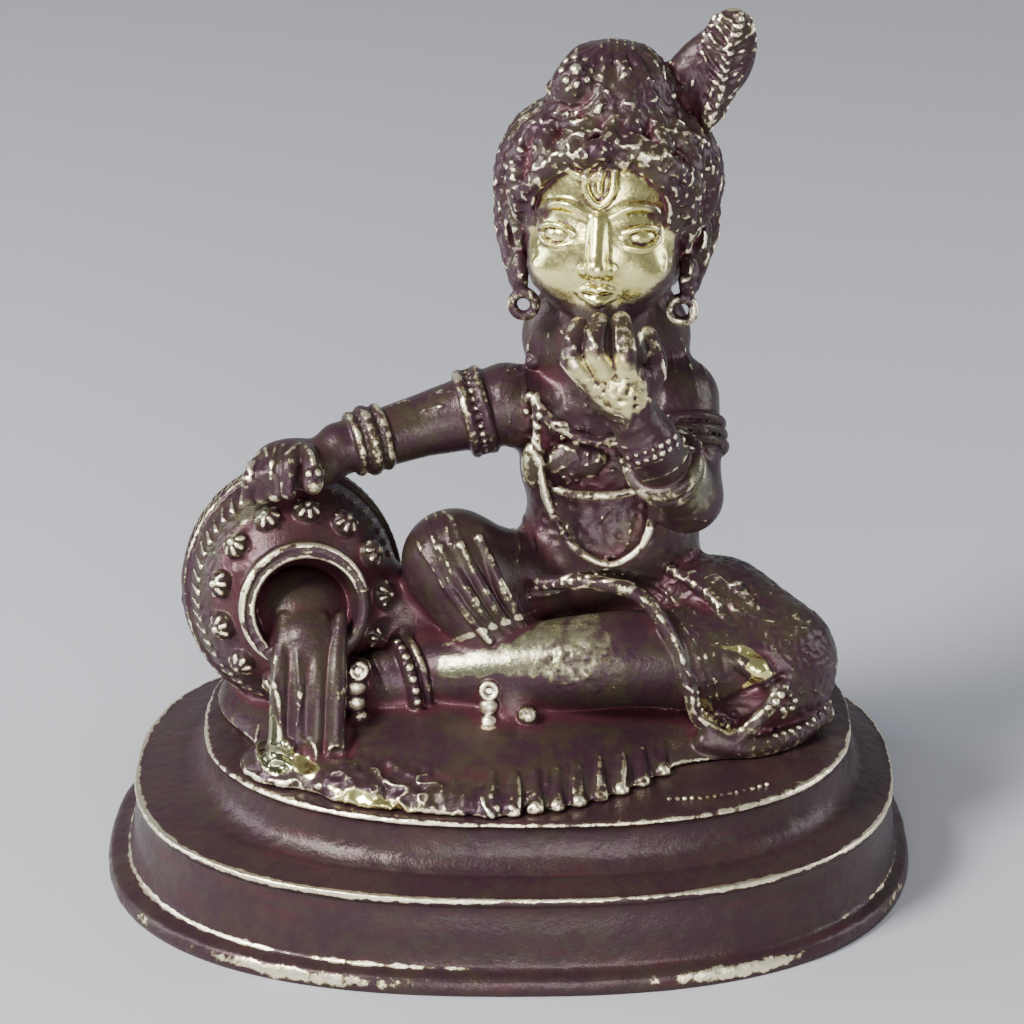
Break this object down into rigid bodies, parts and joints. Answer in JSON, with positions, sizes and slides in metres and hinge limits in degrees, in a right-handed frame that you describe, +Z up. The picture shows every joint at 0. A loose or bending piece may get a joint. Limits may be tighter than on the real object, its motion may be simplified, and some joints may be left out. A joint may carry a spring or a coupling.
{
  "type": "krishna figure",
  "caption": "Cast brass figure of the child Krishna eating butter, seated by a tipped pot, on a stepped oval plinth.",
  "frame": {"origin": "centre of the plinth's underside, on the surface it stands on", "axes": "+Z up, the figure faces -Y, +X to the viewer's right"},
  "size_m": [0.1522, 0.1181, 0.1613],
  "materials": {
    "figure_brass": "dark aubergine patina, worn to pale brass on the raised parts",
    "plinth_brass": "dark aubergine patina, worn to pale brass along the edges"
  },
  "bodies": {
    "root": {"krishna_figure": "figure_brass", "plinth": "plinth_brass"}
  },
  "joints": []
}
